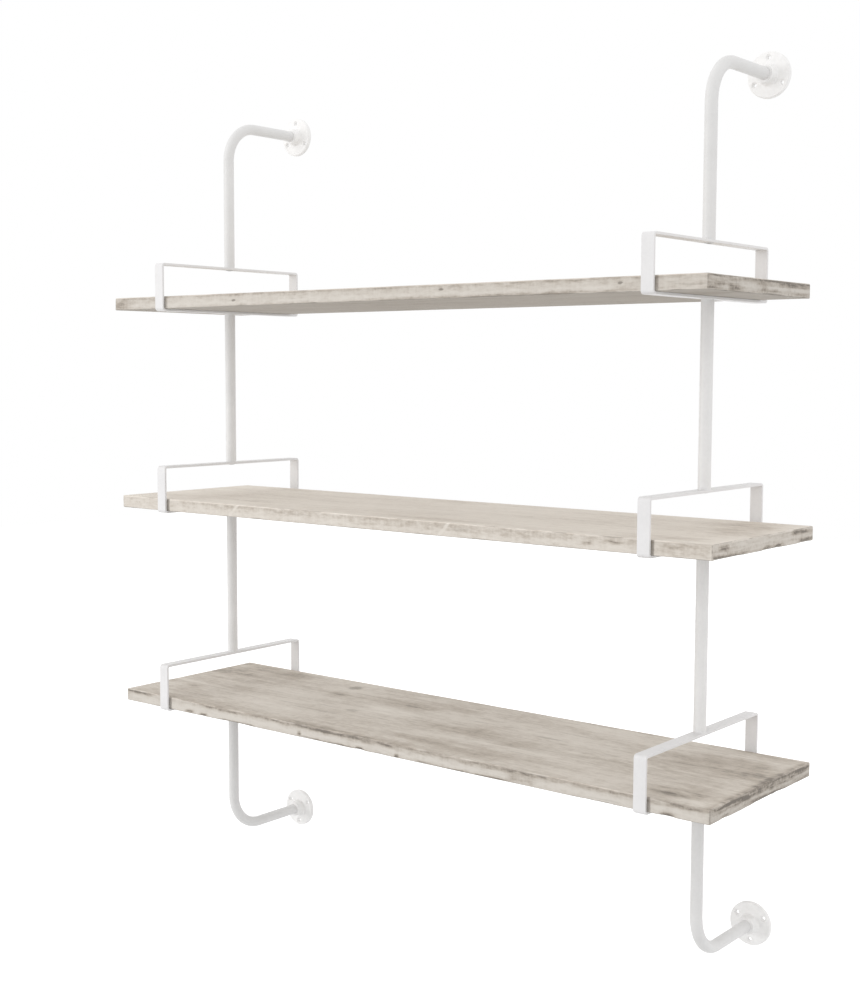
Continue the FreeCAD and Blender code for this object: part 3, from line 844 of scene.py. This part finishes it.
def zinc_plate(settings):
    """Bright zinc with faint cloudy patches."""
    finish = Finish("zinc_plated_steel")
    clouds = finish.grain(finish.place, ZINC_CLOUDS)
    dull = opaque([DULL_ZINC * part for part in settings.colour])
    colour = finish.blend(clouds, dull, opaque(settings.colour))
    roughness = finish.layer(settings.roughness, clouds, 0.2)
    scratches = finish.grain(finish.place, ZINC_SCRATCHES)
    normal = finish.bump(scratches, ZINC_RELIEF, strength=0.4)
    return finish.surface(colour, roughness, normal, metallic=1.0)


# ---------------------------------------------------------- board meshes

# Rows of points near an edge, and their distance farther in.
EDGE_STEPS = (0.0, 0.7 * MM, 1.5 * MM, 2.5 * MM, 3.7 * MM, 5.5 * MM, 8.0 * MM)
LENGTH_STEP = 4.5 * MM
DEPTH_STEP = 6.0 * MM
THICKNESS_STEP = 2.0 * MM

# Repeats in a metre of what is uneven, along, across and through the board.
RUBBING = (18.0, 18.0, 18.0)
WAVES = (5.0, 38.0, 60.0)
RIPPLES = (60.0, 160.0, 160.0)
CHIP_SPLINTERS = (120.0, 500.0, 500.0)
PATCH_OUTLINE = (14.0, 60.0, 0.0)
PATCH_BREAKS = (26.0, 85.0, 0.0)
BAND_OUTLINE = (55.0, 55.0, 55.0)

PATCH_WANDER = 8.0 * MM
BAND_WANDER = 1.6 * MM
BAND_FADE = 16.0 * MM

STRAY_EDGES = ("front_top", "front_under", "front_under", "end_top", "end_under")
STRAY_LENGTHS = (6.0 * MM, 34.0 * MM)
STRAY_DEPTHS = (0.4 * MM, 1.2 * MM)
CHIP_SPREAD = 2.2  # half width of a chip for each millimetre of its depth
DEEP_CHIP = 1.2 * MM


def uneven(point, repeats, shift=(0.0, 0.0, 0.0)):
    """Smooth noise from -1 to 1 at a point, with so many repeats in a metre."""
    return noise.noise(Vector([part * count + move for part, count, move in zip(point, repeats, shift)]))


def stations(half, step):
    """Places from -half to half: close together at both ends, even between."""
    near = [part for part in EDGE_STEPS if part < half]
    span = 2 * (half - near[-1])
    count = max(1, round(span / step))
    middle = [near[-1] - half + span * number / count for number in range(1, count)]
    return [part - half for part in near] + middle + [half - part for part in reversed(near)]


def box_surface(xs, ys, zs):
    """Points and quads of a closed box, with a row of points at each station."""
    numbers = {}
    points = []
    quads = []

    def point(i, j, k):
        if (i, j, k) not in numbers:
            numbers[i, j, k] = len(points)
            points.append(Vector((xs[i], ys[j], zs[k])))
        return numbers[i, j, k]

    def quad(first, second, third, fourth, outward):
        ring = [point(*corner) for corner in (first, second, third, fourth)]
        quads.append(ring if outward else ring[::-1])

    x_end, y_end, z_end = len(xs) - 1, len(ys) - 1, len(zs) - 1
    for k, outward in ((0, False), (z_end, True)):
        for i in range(x_end):
            for j in range(y_end):
                quad((i, j, k), (i + 1, j, k), (i + 1, j + 1, k), (i, j + 1, k), outward)
    for j, outward in ((0, True), (y_end, False)):
        for i in range(x_end):
            for k in range(z_end):
                quad((i, j, k), (i + 1, j, k), (i + 1, j, k + 1), (i, j, k + 1), outward)
    for i, outward in ((0, False), (x_end, True)):
        for j in range(y_end):
            for k in range(z_end):
                quad((i, j, k), (i, j + 1, k), (i, j + 1, k + 1), (i, j, k + 1), outward)
    return points, quads


def stray_chips(settings, facts, half_size):
    """Small chips at seeded places along the front and end edges."""
    draw = random.Random(facts.seed)
    chips = []
    for _ in range(settings.stray_chips):
        edge = draw.choice(STRAY_EDGES)
        room = 2 * (half_size.x if edge.startswith("front") else half_size.y)
        length = draw.uniform(*STRAY_LENGTHS)
        start = draw.uniform(0.0, room - length)
        chips.append(Chip(edge, start, length, draw.uniform(*STRAY_DEPTHS)))
    return chips


def chip_depth(chip, point, half_size):
    """How deep the chip cuts at a point, 0 outside it."""
    height = half_size.z - point.z if chip.edge.endswith("top") else point.z + half_size.z
    if chip.edge.startswith("front"):
        along = point.x + half_size.x
        inward = point.y + half_size.y
    else:
        along = point.y + half_size.y
        inward = half_size.x - point.x
    middle = (along - chip.start - chip.length / 2) / (chip.length / 2)
    if abs(middle) >= 1.0:
        return 0.0
    spread = math.hypot(height, inward) / (CHIP_SPREAD * chip.depth)
    return chip.depth * max(0.0, 1.0 - middle ** 4 - spread ** 2)


def worn_point(settings, facts, point, half_size):
    """A point of the sharp board after planing, rounding and wear."""
    shift = (facts.seed, 0.0, 0.0)
    rubbed = 0.5 + 0.5 * uneven(point, RUBBING, shift)
    radius = settings.corner_radius + settings.corner_wear * rubbed ** 2
    inner = Vector([
        max(-half + radius, min(half - radius, part)) for part, half in zip(point, half_size)])
    outward = (point - inner).normalized()
    wave = uneven(point, WAVES, shift)
    ripple = uneven(point, RIPPLES, shift)
    dip = settings.face_dip * (0.5 + 0.35 * wave + 0.15 * ripple)
    return inner + outward * (radius - dip), outward


def patch_wear(patches, along, across, point):
    """How thin the patches leave the wash at a place of the top face."""
    warp = PATCH_WANDER * uneven(point, PATCH_OUTLINE)
    total = 0.0
    for patch in patches:
        length_share = (along - patch.along) / patch.half_length
        width_share = (across - patch.across + warp) / patch.half_width
        total += patch.strength * math.exp(-length_share ** 2 - width_share ** 2)
    return total * (1.0 + 0.7 * uneven(point, PATCH_BREAKS, (0.0, 0.0, 3.0)))


def band_wear(bands, along, drop, point):
    """How thin the bands leave the wash at a place of a rim face."""
    warp = BAND_WANDER * uneven(point, BAND_OUTLINE)
    total = 0.0
    for band in bands:
        fade = min(BAND_FADE, (band.stop - band.start) / 2)
        inside = min(along - band.start, band.stop - along) / fade
        height_share = (drop + warp - band.drop) / band.half_height
        total += band.strength * max(0.0, min(1.0, inside + 0.5)) * math.exp(-height_share ** 2)
    return total


def wear_at(facts, point, half_size):
    """How thin the wash is at a point of the board, below 0 where it is thick."""
    drop = half_size.z - point.z
    if drop < ON_FACE:
        return patch_wear(facts.patches, point.x + half_size.x, half_size.y - point.y, point)
    if point.z + half_size.z < ON_FACE:
        return 0.0
    if half_size.x - abs(point.x) < ON_FACE:
        return band_wear(facts.end_bands, point.y + half_size.y, drop, point)
    return band_wear(facts.front_bands, point.x + half_size.x, drop, point)


def board_mesh(settings, level, half_size):
    """The board as a closed mesh, with its wear and chips kept per point."""
    facts = BOARDS[level]
    points, quads = box_surface(
        stations(half_size.x, LENGTH_STEP),
        stations(half_size.y, DEPTH_STEP),
        stations(half_size.z, THICKNESS_STEP))
    chips = facts.chips + tuple(stray_chips(settings, facts, half_size))
    wear, chipped, places = [], [], []
    for point in points:
        place, outward = worn_point(settings, facts, point, half_size)
        depth = max((chip_depth(chip, point, half_size) for chip in chips), default=0.0)
        depth *= 0.75 + 0.5 * uneven(point, CHIP_SPLINTERS)
        places.append(place - outward * depth)
        chipped.append(min(1.0, depth / DEEP_CHIP))
        wear.append(wear_at(facts, point, half_size))
    mesh = bpy.data.meshes.new(f"worn_board_{level}")
    mesh.from_pydata(places, [], quads)
    mesh.shade_smooth()
    for name, values in (("wear", wear), ("chipped", chipped)):
        attribute = mesh.attributes.new(name, "FLOAT", "POINT")
        attribute.data.foreach_set("value", values)
    mesh.validate()
    return mesh


# --------------------------------------------------------------- operators

class SHELVING_OT_make_boards(Operator):
    """Model the three worn boards and give them their whitewash."""

    bl_idname = "shelving.make_boards"
    bl_label = "Make the boards"

    def execute(self, context):
        settings = context.scene.shelving_boards
        for level in BOARDS:
            node = f"board_{level}"
            low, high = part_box(node)
            half_size = (high - low) / 2
            middle = (low + high) / 2
            board = bpy.data.objects.new(f"worn_{node}", board_mesh(settings, level, half_size))
            board.location = middle
            context.scene.collection.objects.link(board)
            leg_sides = [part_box(f"loop_{level}_{side}")[1].x - middle.x for side in SIDES]
            dress(board, whitewashed_wood(settings, level, half_size, leg_sides))
            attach(board, "root")
            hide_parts(node)
        return {"FINISHED"}


def paint_nodes(names, material):
    """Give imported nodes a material, and stop if one is missing."""
    for name in names:
        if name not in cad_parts:
            raise RuntimeError(f"the frame has no node {name}")
        dress(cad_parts[name], material)


class SHELVING_OT_paint_loops(Operator):
    """Paint the six loops of flat bar."""

    bl_idname = "shelving.paint_loops"
    bl_label = "Paint the loops"

    def execute(self, context):
        settings = context.scene.shelving_paint
        # A darker copy of the white paint, as painted shade.
        material = white_paint(settings, "white_paint_bar", settings.bar_shaded_colour)
        paint_nodes([f"loop_{level}_{side}" for level in BOARDS for side in SIDES], material)
        return {"FINISHED"}


class SHELVING_OT_paint_tubes(Operator):
    """Paint the straight and the bent tubes."""

    bl_idname = "shelving.paint_tubes"
    bl_label = "Paint the tubes"

    def execute(self, context):
        settings = context.scene.shelving_paint
        # Straight tubes get a lighter copy of the paint as painted light, bent tubes a darker one as
        # painted shade.
        straight = white_paint(settings, "white_paint_tube", settings.tube_lit_colour)
        bent = white_paint(settings, "white_paint_bent_tube", settings.bent_tube_shaded_colour)
        for row in ("upper", "lower"):
            paint_nodes([f"tube_{row}_{side}" for side in SIDES], straight)
            paint_nodes([f"bent_tube_{row}_{side}" for side in SIDES], bent)
        return {"FINISHED"}


class SHELVING_OT_paint_flanges(Operator):
    """Paint the four wall flanges."""

    bl_idname = "shelving.paint_flanges"
    bl_label = "Paint the flanges"

    def execute(self, context):
        settings = context.scene.shelving_paint
        # A lighter copy of the white paint, as painted light.
        material = white_paint(settings, "white_paint_flange", settings.flange_lit_colour, settings.casting)
        paint_nodes([f"flange_{row}_{side}" for row in ("upper", "lower") for side in SIDES], material)
        return {"FINISHED"}


class SHELVING_OT_plate_fasteners(Operator):
    """Give the bolts, plugs and screws their zinc plate."""

    bl_idname = "shelving.plate_fasteners"
    bl_label = "Plate the fasteners"

    def execute(self, context):
        names = ["guard_bolts", "seat_bolts"]
        for level in BOARDS:
            names.append(f"board_screws_{level}")
            for side in SIDES:
                names += [f"plug_over_{level}_{side}", f"plug_under_{level}_{side}"]
        paint_nodes(names, zinc_plate(context.scene.shelving_steel))
        return {"FINISHED"}


# -------------------------------------------------------------------- stage

FILM_WIDTH = 36.0  # millimetres
WHITE = (1.0, 1.0, 1.0, 1.0)


class Lamp(NamedTuple):
    """A square soft lamp, and the stage setting that holds its power."""

    name: str
    place: tuple
    size: float
    power: str


LAMPS = (
    Lamp("key_lamp", (-2.7, -2.8, 2.4), 1.8, "key_power"),
    Lamp("side_lamp", (3.6, -0.6, 0.6), 2.4, "side_power"),
    Lamp("front_lamp", (-3.4, -4.4, 0.3), 2.0, "front_power"),
)


def seen_directly(tree):
    """1 for rays from the camera and for mirrored and transmitted ones."""
    path = tree.nodes.new("ShaderNodeLightPath")
    total = path.outputs["Is Camera Ray"]
    for name in ("Is Glossy Ray", "Is Transmission Ray"):
        either = tree.nodes.new("ShaderNodeMath")
        either.operation = "MAXIMUM"
        tree.links.new(total, either.inputs[0])
        tree.links.new(path.outputs[name], either.inputs[1])
        total = either.outputs[0]
    return total


def light_room(scene, settings):
    """An even room light, seen as plain white."""
    world = bpy.data.worlds.new("studio")
    world.use_nodes = True
    tree = world.node_tree
    tree.nodes.clear()
    room = tree.nodes.new("ShaderNodeBackground")
    room.inputs["Strength"].default_value = settings.sky_strength
    white = tree.nodes.new("ShaderNodeBackground")
    white.inputs["Strength"].default_value = 1.0
    for background in (room, white):
        background.inputs["Color"].default_value = WHITE
    chosen = tree.nodes.new("ShaderNodeMixShader")
    tree.links.new(seen_directly(tree), chosen.inputs[0])
    tree.links.new(room.outputs[0], chosen.inputs[1])
    tree.links.new(white.outputs[0], chosen.inputs[2])
    output = tree.nodes.new("ShaderNodeOutputWorld")
    tree.links.new(chosen.outputs[0], output.inputs["Surface"])
    scene.world = world


def lay_floor(scene, settings):
    """A plain pale floor below the unit, which keeps the unit's soft shadow."""
    half = settings.floor_size / 2
    level = CAD_BOX[0].z - settings.floor_drop
    mesh = bpy.data.meshes.new("floor")
    corners = ((-half, -half), (half, -half), (half, half), (-half, half))
    mesh.from_pydata([(x, y, level) for x, y in corners], [], [(0, 1, 2, 3)])
    floor = bpy.data.objects.new("floor", mesh)
    scene.collection.objects.link(floor)

    finish = Finish("pale_floor")
    shader = finish.add("ShaderNodeBsdfDiffuse")
    shader.inputs["Color"].default_value = opaque(settings.floor_colour)
    glow = finish.add("ShaderNodeEmission")
    glow.inputs["Color"].default_value = WHITE
    strength = finish.math("MULTIPLY", seen_directly(finish.tree), settings.floor_glow)
    finish.feed(glow.inputs["Strength"], strength)
    both = finish.add("ShaderNodeAddShader")
    finish.feed(both.inputs[0], shader.outputs[0])
    finish.feed(both.inputs[1], glow.outputs[0])
    output = finish.add("ShaderNodeOutputMaterial")
    finish.feed(output.inputs["Surface"], both.outputs[0])
    dress(floor, finish.material)


def hang_lamp(scene, lamp, power):
    """Hang a lamp that faces the middle of the unit."""
    light = bpy.data.lights.new(lamp.name, "AREA")
    light.energy = power
    light.size = lamp.size
    piece = bpy.data.objects.new(lamp.name, light)
    piece.location = lamp.place
    aim = (CAD_BOX[0] + CAD_BOX[1]) / 2 - Vector(lamp.place)
    piece.rotation_euler = aim.to_track_quat("-Z", "Y").to_euler()
    scene.collection.objects.link(piece)


def set_camera(scene, settings):
    """The camera, from its place, turn, tilt and roll."""
    data = bpy.data.cameras.new("camera")
    data.sensor_width = FILM_WIDTH
    data.lens = settings.lens
    camera = bpy.data.objects.new("camera", data)
    turn = Matrix.Rotation(settings.camera_turn, 4, "Z")
    tilt = Matrix.Rotation(math.pi / 2 + settings.camera_tilt, 4, "X")
    roll = Matrix.Rotation(settings.camera_roll, 4, "Z")
    camera.matrix_world = Matrix.Translation(settings.camera_place) @ turn @ tilt @ roll
    scene.collection.objects.link(camera)
    scene.camera = camera


class SHELVING_OT_set_stage(Operator):
    """Lay the floor, light the room and set the camera."""

    bl_idname = "shelving.set_stage"
    bl_label = "Set the stage"

    def execute(self, context):
        scene = context.scene
        settings = scene.shelving_stage
        lay_floor(scene, settings)
        light_room(scene, settings)
        for lamp in LAMPS:
            hang_lamp(scene, lamp, getattr(settings, lamp.power))
        set_camera(scene, settings)
        scene.view_settings.view_transform = "Standard"
        return {"FINISHED"}


# -------------------------------------------------------------------- panel

OPERATORS = (
    SHELVING_OT_make_boards,
    SHELVING_OT_paint_loops,
    SHELVING_OT_paint_tubes,
    SHELVING_OT_paint_flanges,
    SHELVING_OT_plate_fasteners,
    SHELVING_OT_set_stage,
)
SETTINGS = {
    "shelving_boards": ShelvingBoardSettings,
    "shelving_paint": ShelvingPaintSettings,
    "shelving_steel": ShelvingSteelSettings,
    "shelving_stage": ShelvingStageSettings,
}


class SHELVING_PT_sidebar(Panel):
    """The steps that dress the shelving unit, and their settings."""

    bl_label = "Pipe shelving unit"
    bl_space_type = "VIEW_3D"
    bl_region_type = "UI"
    bl_category = "Shelving"

    def draw(self, context):
        for operator in OPERATORS:
            self.layout.operator(operator.bl_idname)
        for name, group in SETTINGS.items():
            box = self.layout.box()
            for prop in group.__annotations__:
                box.prop(getattr(context.scene, name), prop)


def register():
    """Register the settings, the operators and the panel."""
    for name, group in SETTINGS.items():
        bpy.utils.register_class(group)
        setattr(bpy.types.Scene, name, PointerProperty(type=group))
    for item in (*OPERATORS, SHELVING_PT_sidebar):
        bpy.utils.register_class(item)


def unregister():
    """Undo register."""
    for item in (SHELVING_PT_sidebar, *reversed(OPERATORS)):
        bpy.utils.unregister_class(item)
    for name, group in SETTINGS.items():
        delattr(bpy.types.Scene, name)
        bpy.utils.unregister_class(group)


def main():
    """Dress the unit and set the stage."""
    register()
    bpy.ops.shelving.make_boards()
    bpy.ops.shelving.paint_loops()
    bpy.ops.shelving.paint_tubes()
    bpy.ops.shelving.paint_flanges()
    bpy.ops.shelving.plate_fasteners()
    bpy.ops.shelving.set_stage()


if __name__ == "__main__":
    main()
